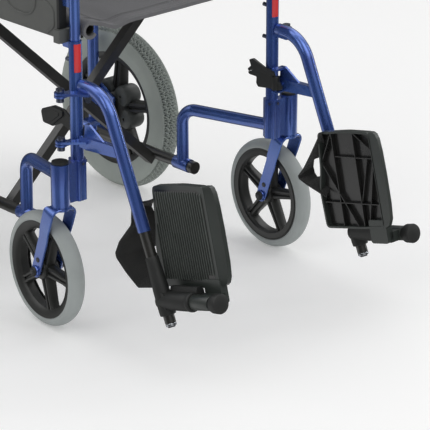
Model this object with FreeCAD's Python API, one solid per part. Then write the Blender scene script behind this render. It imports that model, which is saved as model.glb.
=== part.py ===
import FreeCAD, Part
import math
import os
from FreeCAD import Vector

# Folding transit wheelchair, millimetres, +Z up, -Y is the front, +X is the sitter's left.
# The origin is on the floor at the middle of the plan box.
# Paired pieces are drawn on the left and mirrored for the right.

# ---------------------------------------------------------------- driving dimensions
Y_SHIFT = 13.24                     # centres the plan box on the origin at export

# side frame
POST_X = 223.0                      # side frame plane, from the middle of the chair
FRONT_Y, REAR_Y = -178.0, 306.0     # front and back posts
TUBE_R, TUBE_IN = 11.0, 9.0         # outside and inside radius of the frame tube
POST_TOP = 504.0
POST_TOP_BORE_R = 9.4
SLEEVE_Z0, SLEEVE_Z1 = 229.0, 300.0
SIDE_RAIL_Z, SIDE_RAIL_R = 509.0, 9.5
HANDLE_Z, HANDLE_END = 912.0, 505.0
TUBE_END_Y = HANDLE_END - 6         # the grip closes over the handle tube's end
HANDLE_BEND = 50.0
GRIP_R, GRIP_LEN = 17.0, 120.0
SCREW_Z = (468.0, 410.0)            # screw heads on the back of the front post
PLATE_HOLE_Z = (145, 175)           # small holes in the axle plate

# cross brace and seat rails
PIVOT_X, PIVOT_Z, PIVOT_R = 182.0, 137.0, 10.0
CROSS_Y, CROSS_Z = 82.0, 291.0      # scissor centre
BRACE_ANGLE = 43.0
BAR_H, BAR_T, BAR_WALL = 18.0, 17.0, 1.8
BAR_GAP = 2.0                       # from the scissor centre to each bar
BOLT_R = 5.0
RAIL_X, RAIL_Z, RAIL_R = 200.0, 520.0, 10.0
BRACE_TUBE_IN = 8.2
SEAT_Y0, SEAT_Y1 = -190.0, 225.0
BACK_Z0, BACK_Z1 = 545.0, 872.0

# wheels
REAR_R, REAR_W, REAR_RIM = 158.0, 49.0, 112.0
REAR_WHEEL_X, REAR_WHEEL_Y = 268.0, 285.0
CASTER_R, CASTER_W, CASTER_RIM = 100.0, 32.0, 84.0
STEM_X, STEM_Y = 262.0, -180.0
STEM_R, STEM_GAP = 8.0, 0.05
HOUSING_Z0, HOUSING_Z1 = 227, 301   # caster stem housing
HOUSING_PLUG_Z = 297                # underside of its plug
CASTER_Y = STEM_Y + 47.0            # the wheel trails the stem
CASTER_TURN = {"r": -6.0, "l": -3.0}
FORK_IN, FORK_OUT = 19, 23          # strap faces, from the wheel's middle

# swing-away front rigging
HINGE_X, HINGE_Y = 257.0, FRONT_Y
HINGE_Z = (419.0, 335.0)            # undersides of the upper and lower swing plates
HINGE_T = 4                         # swing plates and frame lugs
HINGE_EYE_R = 10
HANG_Z = 430.0
LEG_TIP_Y, LEG_TIP_Z = -407.0, 77.0
LEG_LEAN = math.radians(24.0)       # from vertical
LEG_END = 154.0                     # outer leg tube stops this far above the tip
LEG_BORE_R, LEG_TUBE_R = 9.40, 9.35
LATCH_X, LATCH_Y, LATCH_PIN_R = 206, -205, 3.0
KNUCKLE_X = 222.0                   # footplate hinge
KNUCKLE_Y, KNUCKLE_Z = -391.0, 111.0
FOOT_TILT = math.radians(15.0)
PLATE_X0, PLATE_X1 = 182.0, 196.0

# armrests and brake levers
ARM_Z, ARM_R, ARM_PIVOT_Y = 708.0, 9.0, 250.0
ARM_PIN_R = 3.0
BRAKE_Y, BRAKE_Z = 373, 884         # lever pivot


# ---------------------------------------------------------------- helpers
def box(x0, x1, y0, y1, z0, z1):
    return Part.makeBox(x1 - x0, y1 - y0, z1 - z0, Vector(x0, y0, z0))


def rod(start, end, radius):
    start = Vector(*start)
    axis = Vector(*end) - start
    return Part.makeCylinder(radius, axis.Length, start, axis)


def rod_x(x0, x1, y, z, radius):
    return rod((x0, y, z), (x1, y, z), radius)


def rod_y(x, y0, y1, z, radius):
    return rod((x, y0, z), (x, y1, z), radius)


def rod_z(x, y, z0, z1, radius):
    return rod((x, y, z0), (x, y, z1), radius)


def ring(start, end, outer_r, inner_r):
    """Tube whose bore tool runs 1 mm past both ends."""
    axis = Vector(*end) - Vector(*start)
    bore_start = Vector(*start) - Vector(axis).normalize()
    bore = Part.makeCylinder(inner_r, axis.Length + 2, bore_start, axis)
    return rod(start, end, outer_r).cut(bore)


def pipe(start, corner, end, bend, radius):
    """Round bar along two straights joined by an arc of radius bend."""
    start, corner, end = Vector(*start), Vector(*corner), Vector(*end)
    back = (start - corner).normalize()
    onward = (end - corner).normalize()
    half = back.getAngle(onward) / 2
    setback = bend / math.tan(half)
    arc_start = corner + back * setback
    arc_end = corner + onward * setback
    middle = (back + onward).normalize()
    arc_mid = corner + middle * (bend / math.sin(half) - bend)
    spine = Part.Wire([
        Part.makeLine(start, arc_start),
        Part.Arc(arc_start, arc_mid, arc_end).toShape(),
        Part.makeLine(arc_end, end),
    ])
    profile = Part.Wire(Part.makeCircle(radius, start, corner - start))
    return spine.makePipeShell([profile], True, True)


def extrude(points, travel):
    return Part.Face(Part.makePolygon(points + [points[0]])).extrude(travel)


def prism_x(outline, x0, x1):
    """Outline of (y, z) points, extruded along X."""
    return extrude([Vector(x0, y, z) for y, z in outline], Vector(x1 - x0, 0, 0))


def prism_z(outline, z0, z1):
    """Outline of (x, y) points, extruded along Z."""
    return extrude([Vector(x, y, z0) for x, y in outline], Vector(0, 0, z1 - z0))


def join(shapes):
    joined = shapes[0].multiFuse(shapes[1:])
    # Merging coplanar faces can fail on some fusions; the plain fusion is then kept.
    try:
        joined = joined.removeSplitter()
    except Exception:
        pass
    return joined


def cut_all(shape, tools):
    for tool in tools:
        shape = shape.cut(tool)
    return shape


def inset(outline, margin):
    """Move each point by margin in both directions, toward the mean point."""
    mid_u = sum(point[0] for point in outline) / len(outline)
    mid_v = sum(point[1] for point in outline) / len(outline)
    return [(u + (margin if u < mid_u else -margin), v + (margin if v < mid_v else -margin))
            for u, v in outline]


def around_post(radius, degrees):
    """(x, y) on a circle about the front post; 270 degrees faces the front."""
    angle = math.radians(degrees)
    return POST_X + radius * math.cos(angle), FRONT_Y + radius * math.sin(angle)


def leg_point(distance):
    """Point on the leaning leg tube's axis, measured up from its lower end."""
    return (POST_X, LEG_TIP_Y + distance * math.sin(LEG_LEAN),
            LEG_TIP_Z + distance * math.cos(LEG_LEAN))


def foot_point(x, along, up):
    """Footplate frame: along runs forward on the hinge line, up climbs the folded plate."""
    return (x, KNUCKLE_Y - along * math.cos(FOOT_TILT) + up * math.sin(FOOT_TILT),
            KNUCKLE_Z + along * math.sin(FOOT_TILT) + up * math.cos(FOOT_TILT))


def foot_rod(start, end, radius):
    """Rod on the footplate hinge line."""
    return rod(foot_point(KNUCKLE_X, start, 0), foot_point(KNUCKLE_X, end, 0), radius)


def foot_prism(outline, x0, x1):
    return prism_x([foot_point(0, along, up)[1:] for along, up in outline], x0, x1)


def foot_box(x0, x1, along0, along1, up0, up1):
    outline = [(along0, up0), (along1, up0), (along1, up1), (along0, up1)]
    return foot_prism(outline, x0, x1)


# ---------------------------------------------------------------- side frames
# (y, z) outlines
AXLE_PLATE = [(262, 134), (276, 112), (322, 112), (330, 124),
              (330, 196), (320, 208), (300, 208), (262, 186)]
RAIL_END_PLATE = [(-172, 488), (-150, 488), (-146, 509),
                  (-157.8, 509), (-157.8, 498), (-172, 498)]


def frame_front():
    """Front post, its ribbed sleeve, the caster housing and the lower side tube."""
    x = POST_X
    parts = [
        rod_z(x, FRONT_Y, SLEEVE_Z0 + 3, POST_TOP, TUBE_R),
        rod_z(x, FRONT_Y, SLEEVE_Z0, SLEEVE_Z1, 14.0),
        rod_z(STEM_X, STEM_Y, HOUSING_Z0, HOUSING_Z1, 16.0),
        box(x + 8, STEM_X - 8, STEM_Y - 7, STEM_Y + 7, 229, 299),
    ]
    for degrees in (60, 120, 180, 240, 300):
        parts.append(rod_z(*around_post(12, degrees), SLEEVE_Z0, SLEEVE_Z1, 3.6))
    # lower side tube, bent in to the drop leg
    parts.append(pipe((x, FRONT_Y, 250), (181, 10, 244), (PIVOT_X, 10, PIVOT_Z), 30, TUBE_R))
    # short fore-aft sleeves that carry the brace's lower pivot tube
    for y0, y1 in ((-10, 28), (262, 300)):
        parts.append(rod_y(PIVOT_X, y0, y1, PIVOT_Z, 12.5))
    return parts


def frame_rear():
    """Back post with push handle, rear bracket, axle plate, tipping lever and side rail."""
    x = POST_X
    return [
        pipe((x, REAR_Y, 112), (x, REAR_Y, HANDLE_Z), (x, TUBE_END_Y, HANDLE_Z),
             HANDLE_BEND, TUBE_R),
        # bracket between the back post and the rear sleeve
        box(PIVOT_X + 6, x, 276, 298, 127, 147),
        box(x - 4, x + 6, 276, REAR_Y, 117, 152),
        # axle plate on the outer face of the back post, with its backing block
        box(x + 6, x + 15, 296, 316, 118, 200),
        prism_x(AXLE_PLATE, x + 10.4, x + 15),
        # tipping lever stub
        rod((x, 300, 124), (x, 398, 113), 8.5),
        # seat-level side rail and its end plate at the front post
        rod_y(x, -158, REAR_Y, SIDE_RAIL_Z, SIDE_RAIL_R),
        prism_x(RAIL_END_PLATE, x - 3, x + 3),
    ]


def frame_lugs():
    """Lugs under the swing plates, and the arm pivot lug."""
    x = POST_X
    parts = []
    for z in HINGE_Z:
        z0, z1 = z - 1 - HINGE_T, z - 1
        parts.append(box(x, HINGE_X, HINGE_Y - 8, HINGE_Y + 8, z0, z1))
        parts.append(rod_z(HINGE_X, HINGE_Y, z0, z1, HINGE_EYE_R))
    parts.append(box(x - 2.5, x + 2.5, ARM_PIVOT_Y, REAR_Y, ARM_Z - ARM_R, ARM_Z + ARM_R))
    parts.append(rod_x(x - 2.5, x + 2.5, ARM_PIVOT_Y, ARM_Z, ARM_R))
    return parts


def frame_bores():
    x = POST_X
    tools = [
        # open top of the front post
        rod_z(x, FRONT_Y, 440, POST_TOP + 1, POST_TOP_BORE_R),
        # caster stem bore and the plug's seat above it
        rod_z(STEM_X, STEM_Y, HOUSING_Z0 - 1, HOUSING_PLUG_Z, STEM_R + STEM_GAP),
        rod_z(STEM_X, STEM_Y, HOUSING_PLUG_Z, HOUSING_Z1 + 1, 12.0),
        rod_y(PIVOT_X, -20, 310, PIVOT_Z, PIVOT_R + 0.05),
    ]
    for z in HINGE_Z:
        tools.append(rod_z(HINGE_X, HINGE_Y, z - 6, z, 4.0))
    tools.append(rod_x(x + 3, x + 20, REAR_WHEEL_Y, REAR_R, 6.0))
    tools.append(rod_x(x - 5, x + 5, ARM_PIVOT_Y, ARM_Z, ARM_PIN_R + 0.05))
    for z in PLATE_HOLE_Z:
        tools.append(rod_x(x + 3, x + 20, 322, z, 3.0))
    return tools


def frame_hollows():
    """Insides of the front post, back post, side rail and lower side tube."""
    x = POST_X
    return [
        rod_z(x, FRONT_Y, 262, 441, TUBE_IN),
        pipe((x, REAR_Y, 125), (x, REAR_Y, HANDLE_Z), (x, TUBE_END_Y - 6, HANDLE_Z),
             HANDLE_BEND, TUBE_IN),
        rod_y(x, -150, REAR_Y - 14, SIDE_RAIL_Z, 7.8),
        pipe((x - 3.4, FRONT_Y + 15, 249.5), (181, 10, 244), (PIVOT_X, 10, PIVOT_Z + 17),
             30, TUBE_IN),
    ]


def side_frame():
    frame = join(frame_front() + frame_rear() + frame_lugs())
    return cut_all(frame, frame_bores() + frame_hollows())


def frame_caps():
    x = POST_X
    plug = rod_z(STEM_X, STEM_Y, HOUSING_PLUG_Z, HOUSING_Z1, 11.95)
    lid = rod_z(STEM_X, STEM_Y, HOUSING_Z1, HOUSING_Z1 + 4, 14.0)
    # seat for the armrest leg, in the post's open top
    arm_seat = rod_z(x, FRONT_Y, 478, POST_TOP - 0.2, POST_TOP_BORE_R - 0.05)
    lever_tip = rod((x, 384, 114.57), (x, 402, 112.55), 11.5)
    lever_tip = lever_tip.cut(rod((x, 370, 116.14), (x, 398.1, 112.99), 8.52))
    return Part.makeCompound([plug.fuse(lid), arm_seat, lever_tip])


def seat_saddles():
    """Blocks that cradle the seat rail beside the side rail."""
    saddles = []
    for y0, y1 in ((-157.5, -132), (176, 208)):
        saddle = box(188, POST_X - SIDE_RAIL_R - 0.1, y0, y1, RAIL_Z - 24, RAIL_Z - 3)
        saddle = saddle.fuse(box(206, POST_X - 3.1, y0, y1, RAIL_Z - 32, RAIL_Z - 20))
        saddles.append(cut_all(saddle, [
            rod_y(RAIL_X, y0 - 1, y1 + 1, RAIL_Z, RAIL_R + 0.4),
            box(180, RAIL_X, y0 - 1, y1 + 1, RAIL_Z - 7, RAIL_Z + 10),
            rod_y(POST_X, y0 - 1, y1 + 1, SIDE_RAIL_Z, SIDE_RAIL_R + 0.1),
            rod_z(POST_X, FRONT_Y, 480, 520, TUBE_R + 0.1),
        ]))
    return Part.makeCompound(saddles)


def frame_hardware():
    x = POST_X
    pieces = []
    for z in HINGE_Z:
        # hinge bolt: shank, head above the swing plate, nut below the lug
        bolt = rod_z(HINGE_X, HINGE_Y, z - 5, z + 5, 3.98)
        bolt = bolt.fuse(rod_z(HINGE_X, HINGE_Y, z + 4.6, z + 10, 7.0))
        nut = rod_z(HINGE_X, HINGE_Y, z - 13, z - 5, 6.5)
        pieces.append(bolt.fuse(nut))
    axle = rod_x(x + 11, 295, REAR_WHEEL_Y, REAR_R, 5.98)
    pieces.append(axle.fuse(rod_x(292, 297, REAR_WHEEL_Y, REAR_R, 10.0)))
    for z in SCREW_Z:
        pieces.append(rod_y(x, FRONT_Y + TUBE_R + 0.05, FRONT_Y + 22, z, 3.6))
    # rivets in the front sleeve
    for degrees in (210, 270):
        start, end = around_post(14.2, degrees), around_post(16.4, degrees)
        pieces.append(rod((*start, 294), (*end, 294), 2.4))
    return Part.makeCompound(pieces)


# Start and end angle about the front post, before mirroring.
STRIP_ANGLES = {"l": (222, 287), "r": (258, 321)}


def post_strip(side):
    """Thin strip on the post, turned roughly the same way on both sides of the chair."""
    first, last = STRIP_ANGLES[side]
    sleeve = ring((POST_X, FRONT_Y, 452), (POST_X, FRONT_Y, 500), TUBE_R + 0.5, TUBE_R + 0.02)
    wedge = [(POST_X, FRONT_Y)]
    wedge += [around_post(20, degrees) for degrees in (first, (first + last) / 2, last)]
    return sleeve.common(prism_z(wedge, 440, 510))


def push_grip():
    y0 = HANDLE_END - GRIP_LEN
    grip = rod_y(POST_X, y0, HANDLE_END, HANDLE_Z, GRIP_R)
    return grip.cut(rod_y(POST_X, y0 - 1, TUBE_END_Y + 0.1, HANDLE_Z, TUBE_R + 0.02))


# ---------------------------------------------------------------- wheels
SPOKES = 5


def spoked_rim(centre, rim_r, rim_in, rim_w, hub_r, hub_w, bore_r,
               spoke_w, spoke_t, first_angle):
    parts = [ring((-rim_w / 2, 0, 0), (rim_w / 2, 0, 0), rim_r, rim_in),
             rod_x(-hub_w / 2, hub_w / 2, 0, 0, hub_r)]
    root, tip = spoke_w * 0.5, spoke_w * 0.34
    outline = [(-root, hub_r * 0.5), (root, hub_r * 0.5), (tip, rim_in + 2), (-tip, rim_in + 2)]
    for i in range(SPOKES):
        spoke = prism_x(outline, -spoke_t / 2, spoke_t / 2)
        # angle 0 points to the front, growing upward
        turn = 90 - (first_angle + 360 // SPOKES * i)
        spoke.rotate(Vector(0, 0, 0), Vector(1, 0, 0), turn)
        parts.append(spoke)
    rim = join(parts).cut(rod_x(-hub_w, hub_w, 0, 0, bore_r))
    rim.translate(Vector(*centre))
    return rim


def tyre(centre, seat, bulge, shoulder, crown_r):
    """Tyre turned about X; seat, bulge and shoulder are (half width, radius)."""
    def at(half_width, radius):
        return Vector(half_width, 0, radius)

    def mirrored(point):
        return at(-point[0], point[1])

    section = [
        Part.makeLine(mirrored(seat), at(*seat)),
        Part.Arc(at(*seat), at(*bulge), at(*shoulder)).toShape(),
        Part.Arc(at(*shoulder), at(0, crown_r), mirrored(shoulder)).toShape(),
        Part.Arc(mirrored(shoulder), mirrored(bulge), mirrored(seat)).toShape(),
    ]
    solid = Part.Face(Part.Wire(section)).revolve(Vector(0, 0, 0), Vector(1, 0, 0), 360)
    solid.translate(Vector(*centre))
    return solid


REAR_CENTRE = (REAR_WHEEL_X, REAR_WHEEL_Y, REAR_R)
CASTER_CENTRE = (STEM_X, CASTER_Y, CASTER_R)


def rear_rim():
    return spoked_rim(REAR_CENTRE, rim_r=REAR_RIM - 0.05, rim_in=97, rim_w=42,
                      hub_r=33, hub_w=44, bore_r=6.05,
                      spoke_w=28, spoke_t=20, first_angle=12)


def rear_tyre():
    return tyre(REAR_CENTRE, seat=(20, REAR_RIM), bulge=(REAR_W / 2, 134),
                shoulder=(20, 150), crown_r=REAR_R)


def caster_rim():
    return spoked_rim(CASTER_CENTRE, rim_r=CASTER_RIM - 0.05, rim_in=74, rim_w=24,
                      hub_r=15, hub_w=33, bore_r=4.05,
                      spoke_w=20, spoke_t=12, first_angle=20)


def caster_tyre():
    return tyre(CASTER_CENTRE, seat=(12, CASTER_RIM), bulge=(CASTER_W / 2, 89),
                shoulder=(11.5, 96), crown_r=CASTER_R)


def caster_fork():
    """Bent strap fork with its stem."""
    y, z = CASTER_Y, CASTER_R
    strap = [(-197, 225), (-169.5, 225), (-152, 179),
             (y + 10.5, z + 6), (y - 11, z - 4), (-176, 181)]
    parts = [box(STEM_X - FORK_OUT, STEM_X + FORK_OUT, -197, -169.5, 219, 225),
             rod_z(STEM_X, STEM_Y, 220, 294, STEM_R)]
    for x0, x1 in ((STEM_X - FORK_OUT, STEM_X - FORK_IN), (STEM_X + FORK_IN, STEM_X + FORK_OUT)):
        parts.append(prism_x(strap, x0, x1).fuse(rod_x(x0, x1, y, z, 11.8)))
    return join(parts).cut(rod_x(STEM_X - 30, STEM_X + 30, y, z, 4.02))


def caster_axle():
    """Axle with a round head outside each fork strap."""
    y, z = CASTER_Y, CASTER_R
    head_in, head_out = FORK_OUT + 0.02, 30
    axle = rod_x(STEM_X - 26, STEM_X + 26, y, z, 4.0)
    axle = axle.fuse(rod_x(STEM_X - head_out, STEM_X - head_in, y, z, 8.0))
    return axle.fuse(rod_x(STEM_X + head_in, STEM_X + head_out, y, z, 8.0))


# ---------------------------------------------------------------- swing-away front rigging
# (y, z) outlines
STRUT = [(-191, 325), (-206, 323), (-286, 330), (-288, 348), (-265, 347), (-191, 343)]
GUSSET = [(-199, 338), (-252, 340), (-246, 346), (-212, 367), (-201, 366)]
PIN_FOOT = [(-211, 323.5), (-199, 324.5), (-199, 321), (-211, 321)]
LATCH_OUTLINES = {
    "l": [(-214, 330), (-211, 344), (-204, 358), (-179, 361), (-149, 371), (-141, 367),
          (-148, 349), (-140, 341), (-158, 339), (-160, 327), (-190, 326)],
    "r": [(-214, 330), (-214, 344), (-190, 350), (-152, 352), (-127, 368), (-101, 368),
          (-68, 355), (-73, 332), (-97, 331), (-120, 342), (-150, 332), (-190, 327)],
}


def swing_plate(z, front_y):
    """Plate running in front of the post to the outboard hinge."""
    x, back_y = POST_X, -191
    outline = [(x - 9, front_y), (x + 9, front_y), (HINGE_X + 8, HINGE_Y - 6),
               (HINGE_X, HINGE_Y + 8), (HINGE_X - 9, HINGE_Y), (x + 14, back_y), (x - 9, back_y)]
    eye = rod_z(HINGE_X, HINGE_Y, z, z + HINGE_T, HINGE_EYE_R)
    return prism_z(outline, z, z + HINGE_T).fuse(eye)


def hanger():
    x = POST_X
    corner = (x, leg_point((HANG_Z - LEG_TIP_Z) / math.cos(LEG_LEAN))[1], HANG_Z)
    upper_z, lower_z = HINGE_Z
    web_z = upper_z + 3
    hanger_solid = join([
        pipe((x, -194, HANG_Z), corner, leg_point(LEG_END), 60, TUBE_R),
        swing_plate(upper_z, -222),
        swing_plate(lower_z, -212),
        # web between the upper plate and the tube
        prism_x([(-194, web_z), (-222, web_z), (-222, HANG_Z), (-194, HANG_Z)], x - 3, x + 3),
        # lower strut back from the leg tube and the gusset above it
        prism_x(STRUT, x - 6, x + 6),
        prism_x(GUSSET, x - 2, x + 2),
        # latch pin, carried by a small lug off the gusset and a foot off the strut
        rod_z(LATCH_X, LATCH_Y, 321, 366, LATCH_PIN_R),
        box(201, x, -211, -200, 361.5, 365.5),
        prism_x(PIN_FOOT, 201, x - 3),
    ])
    # hollow tube, then the bore for the sliding foot tube
    tools = [
        pipe((x, -204, HANG_Z), corner, leg_point(LEG_END + 60), 60, TUBE_IN),
        rod(leg_point(LEG_END - 1), leg_point(LEG_END + 118), LEG_BORE_R),
    ]
    for z in HINGE_Z:
        tools.append(rod_z(HINGE_X, HINGE_Y, z - 1, z + HINGE_T + 1, 4.05))
    return cut_all(hanger_solid, tools)


def latch_lever(side):
    """Lever on the inboard side of the lower strut; the right one has a longer paddle."""
    lever = prism_x(LATCH_OUTLINES[side], LATCH_X - 3, LATCH_X + 3)
    lever = lever.fuse(rod_z(LATCH_X, LATCH_Y, 326, 352, 7.0))
    return lever.cut(rod_z(LATCH_X, LATCH_Y, 320, 361, LATCH_PIN_R + 0.05))


def foot_tube():
    return ring(leg_point(0), leg_point(254), LEG_TUBE_R, 7.0)


def foot_tip():
    plug = rod(leg_point(-3), leg_point(12), 6.9)
    return plug.fuse(rod(leg_point(-8), leg_point(-0.1), 8.6))


def foot_clamp():
    """Collar and taper on the leg tube, with the footplate's hinge barrel."""
    clamp = rod(leg_point(14), leg_point(60), 13.4)
    taper_start = Vector(*leg_point(59.9))
    taper_axis = Vector(*leg_point(112)) - taper_start
    clamp = clamp.fuse(Part.makeCone(13.2, 10.8, taper_axis.Length, taper_start, taper_axis))
    clamp = clamp.fuse(foot_rod(0, 72, 15.0))
    return clamp.cut(rod(leg_point(0), leg_point(130), LEG_TUBE_R + 0.03))


def foot_knob():
    return foot_rod(72.05, 126, 6.0).fuse(foot_rod(124, 141, 16.5))


# All in the footplate frame: (along, up).
PLATE_OUTLINE = [(-30, 20), (-24, 16), (60, 16), (116, 18), (128, 40), (134, 70), (134, 144),
                 (129, 177), (120, 184), (57, 186), (-6, 184), (-18, 178), (-30, 90)]
DIAGONAL_RIBS = [  # start, end
    ((-17, 132), (50, 18)), ((18, 178), (-20, 120)), ((108, 122), (78, 17)),
    ((14, 138), (62, 58)), ((75, 178), (126, 138)),
]
TREAD_COUNT, TREAD_START, TREAD_PITCH = 24, 4, 4.2


def diagonal_rib(start, end, x0, x1):
    run, rise = end[0] - start[0], end[1] - start[1]
    length = math.hypot(run, rise)
    off_along, off_up = rise / length * 1.1, -run / length * 1.1
    outline = [(start[0] + off_along, start[1] + off_up), (end[0] + off_along, end[1] + off_up),
               (end[0] - off_along, end[1] - off_up), (start[0] - off_along, start[1] - off_up)]
    return foot_prism(outline, x0, x1)


def footplate():
    """Folded-up plate: a shell open inboard, ribbed inside, treaded on its outboard face."""
    core = inset(PLATE_OUTLINE, 4.0)
    rib_x1 = PLATE_X1 - 3
    plate = foot_prism(PLATE_OUTLINE, PLATE_X0, PLATE_X1)
    plate = plate.cut(foot_prism(core, PLATE_X0 - 1, PLATE_X1 - 4))
    ribs = [foot_box(PLATE_X0, rib_x1, along - 1.2, along + 1.2, 0, 200) for along in (14, 62)]
    ribs += [foot_box(PLATE_X0, rib_x1, -40, 140, up - 1.2, up + 1.2) for up in (58, 138)]
    ribs += [diagonal_rib(start, end, PLATE_X0, rib_x1) for start, end in DIAGONAL_RIBS]
    plate = plate.fuse(join(ribs).common(foot_prism(core, PLATE_X0, rib_x1)))
    treads = []
    for i in range(TREAD_COUNT):
        along = TREAD_START + i * TREAD_PITCH
        treads.append(foot_box(PLATE_X1 - 0.5, PLATE_X1 + 1.2, along - 1.0, along + 1.0, 30, 174))
    plate = plate.multiFuse(treads)
    # hinge knuckle
    plate = plate.fuse(foot_box(PLATE_X0, PLATE_X1 + 2, 76, 116, -8, 30))
    plate = plate.fuse(foot_box(PLATE_X0, KNUCKLE_X, 76, 116, -8, 8))
    plate = plate.fuse(foot_rod(75, 118, 12.5))
    return plate.cut(foot_rod(70, 123, 6.05))


def heel_loop():
    """Bent strip inboard of the leg tube; y and z of its top, bend and lower end."""
    top_y, top_z = -312, 262
    bend_y, bend_z = -285, 184
    low_y, low_z = -350, 126
    half = 3.0
    outline = [(top_y - half, top_z), (top_y + half * 0.4, top_z + 4), (bend_y + half, bend_z),
               (low_y + 2, low_z - 3), (low_y - 2, low_z + 1), (bend_y - half, bend_z)]
    return prism_x(outline, 178, 208)


# ---------------------------------------------------------------- armrests
PANEL_OUTLINE = [(-152, 509), (-148, 506), (218, 504), (226, 512),  # y, z
                 (226, 672), (206, 697), (-120, 697), (-152, 668)]


def arm_frame():
    x = POST_X
    parts = [pipe((x, FRONT_Y, POST_TOP + 0.3), (x, FRONT_Y, ARM_Z), (x, 232, ARM_Z), 50, ARM_R)]
    # fork around the arm pivot lug, and its pin
    for x0, x1 in ((x - 7, x - 2.8), (x + 2.8, x + 7)):
        parts.append(box(x0, x1, 225, ARM_PIVOT_Y, ARM_Z - ARM_R, ARM_Z + ARM_R))
        parts.append(rod_x(x0, x1, ARM_PIVOT_Y, ARM_Z, ARM_R))
    parts.append(rod_x(x - 8, x + 8, ARM_PIVOT_Y, ARM_Z, ARM_PIN_R))
    # blocks under the pad
    for y in (-90, 60, 190):
        parts.append(box(x - 12, x + 12, y - 8, y + 8, ARM_Z + 4, ARM_Z + 11))
    # clips that hold the side panel
    for y in (-80, 160):
        parts.append(box(x + 4, 233.4, y - 8, y + 8, ARM_Z - 24, ARM_Z + 2))
    front_clip = box(x + 4, 232.7, -150, -140, 560, 580)
    parts.append(front_clip.fuse(box(x - 3, x + 8, -178, -140, 560, 580)))
    return join(parts)


def arm_pad():
    pad = box(POST_X - 26, POST_X + 28, -132, 212, ARM_Z + 11.05, ARM_Z + 32)
    # Rounds the top edges; if the fillet fails the pad stays square.
    try:
        pad = pad.makeFillet(9, [edge for edge in pad.Edges
                                 if abs(edge.BoundBox.ZLength) < 1
                                 and edge.BoundBox.ZMin > ARM_Z + 30])
    except Exception:
        pass
    return pad


def side_panel():
    panel = prism_x(PANEL_OUTLINE, 233.5, 237.0)
    # raised bead along the edge
    bead = prism_x(inset(PANEL_OUTLINE, 16), 236.5, 239.0)
    bead = bead.cut(prism_x(inset(PANEL_OUTLINE, 20), 236.0, 240.0))
    front_strip = box(232.8, 238.5, -154, -144, 508, 662)
    # lower corner block that wraps behind the armrest leg
    block = box(213, 246, -163.5, -158.4, 498.5, 521).fuse(box(234, 241, -159, -150, 503, 519))
    return panel.fuse(bead).fuse(front_strip).fuse(block)


# ---------------------------------------------------------------- attendant brake levers
LEVER_ARM = [(368, 880), (372, 889), (388, 888), (420, 878), (486, 871),  # y, z
             (492, 866), (486, 863), (420, 869), (385, 878)]
LEVER_BLADE = [(420, 878), (486, 871), (492, 866), (486, 863), (420, 869)]  # y, z


def brake_mount():
    """Collar on the handle with a three-sided bracket below it."""
    x = POST_X
    bracket_z = (878, HANDLE_Z - 12)
    mount = ring((x, 366, HANDLE_Z), (x, 380, HANDLE_Z), 15, TUBE_R + 0.05)
    mount = mount.fuse(box(x - 7, x - 3.1, 364, 380, *bracket_z))
    mount = mount.fuse(box(x + 3.1, x + 7, 364, 380, *bracket_z))
    mount = mount.fuse(box(x - 7, x + 7, 364, 367, *bracket_z))
    return mount.cut(rod_x(x - 9, x + 9, BRAKE_Y, BRAKE_Z, 2.98))


def brake_lever():
    x = POST_X
    lever = prism_x(LEVER_ARM, x - 3, x + 3).fuse(prism_x(LEVER_BLADE, x - 6, x + 6))
    return lever.fuse(rod_x(x - 6.9, x + 6.9, BRAKE_Y, BRAKE_Z, 2.93))


def brake_cable():
    x, y = POST_X, 321.5
    return pipe((x, 360, 888), (x, y, 850), (x, y, 300), 30, 2.4)


# ---------------------------------------------------------------- cross brace, seat and back
def brace(side):
    """Brace member whose lower end is on the given side (+1 left, -1 right)."""
    near, far = CROSS_Y + side * BAR_GAP, CROSS_Y + side * (BAR_GAP + BAR_T)
    y0, y1 = min(near, far), max(near, far)
    cosine, sine = math.cos(math.radians(BRACE_ANGLE)), math.sin(math.radians(BRACE_ANGLE))
    low, high = -(178 / cosine), 206 / cosine
    half = BAR_H / 2

    def bar(start, end, half_height, front_y, back_y):
        """Box along the brace, start and end measured upward from the scissor centre."""
        corners = [(start, -half_height), (end, -half_height),
                   (end, half_height), (start, half_height)]
        points = [Vector(side * (across * sine - along * cosine), front_y,
                         CROSS_Z + along * sine + across * cosine)
                  for along, across in corners]
        return extrude(points, Vector(0, back_y - front_y, 0))

    pivot_x, rail_x = side * PIVOT_X, -side * RAIL_X
    member = join([
        # bar, with its end kept clear of the side rail
        bar(low, high, half, y0, y1).common(box(-211.5, 211.5, y0 - 1, y1 + 1, 0, 700)),
        # lower pivot tube and its front cap
        rod_y(pivot_x, -14, 304, PIVOT_Z, PIVOT_R),
        rod_y(pivot_x, -23, -11, PIVOT_Z, 11.5),
        # seat rail and the web under it
        rod_y(rail_x, SEAT_Y0 + 3, 232, RAIL_Z, RAIL_R),
        box(rail_x - 7, rail_x + 7, y0, y1, RAIL_Z - 40, RAIL_Z - 4),
    ])
    # hollow runs either side of the centre bolt, the pivot tube and the seat rail
    tools = [bar(start, end, half - BAR_WALL, y0 + BAR_WALL, y1 - BAR_WALL)
             for start, end in ((low + 16, -16), (16, high - 34))]
    tools.append(rod_y(pivot_x, -10, 305, PIVOT_Z, BRACE_TUBE_IN))
    tools.append(rod_y(rail_x, SEAT_Y0 + 2, 233, RAIL_Z, BRACE_TUBE_IN))
    bolt_hole_r = BOLT_R if side > 0 else BOLT_R + 0.05
    tools.append(rod_y(0, y0 - 2, y1 + 2, CROSS_Z, bolt_hole_r))
    return cut_all(member, tools)


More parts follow.
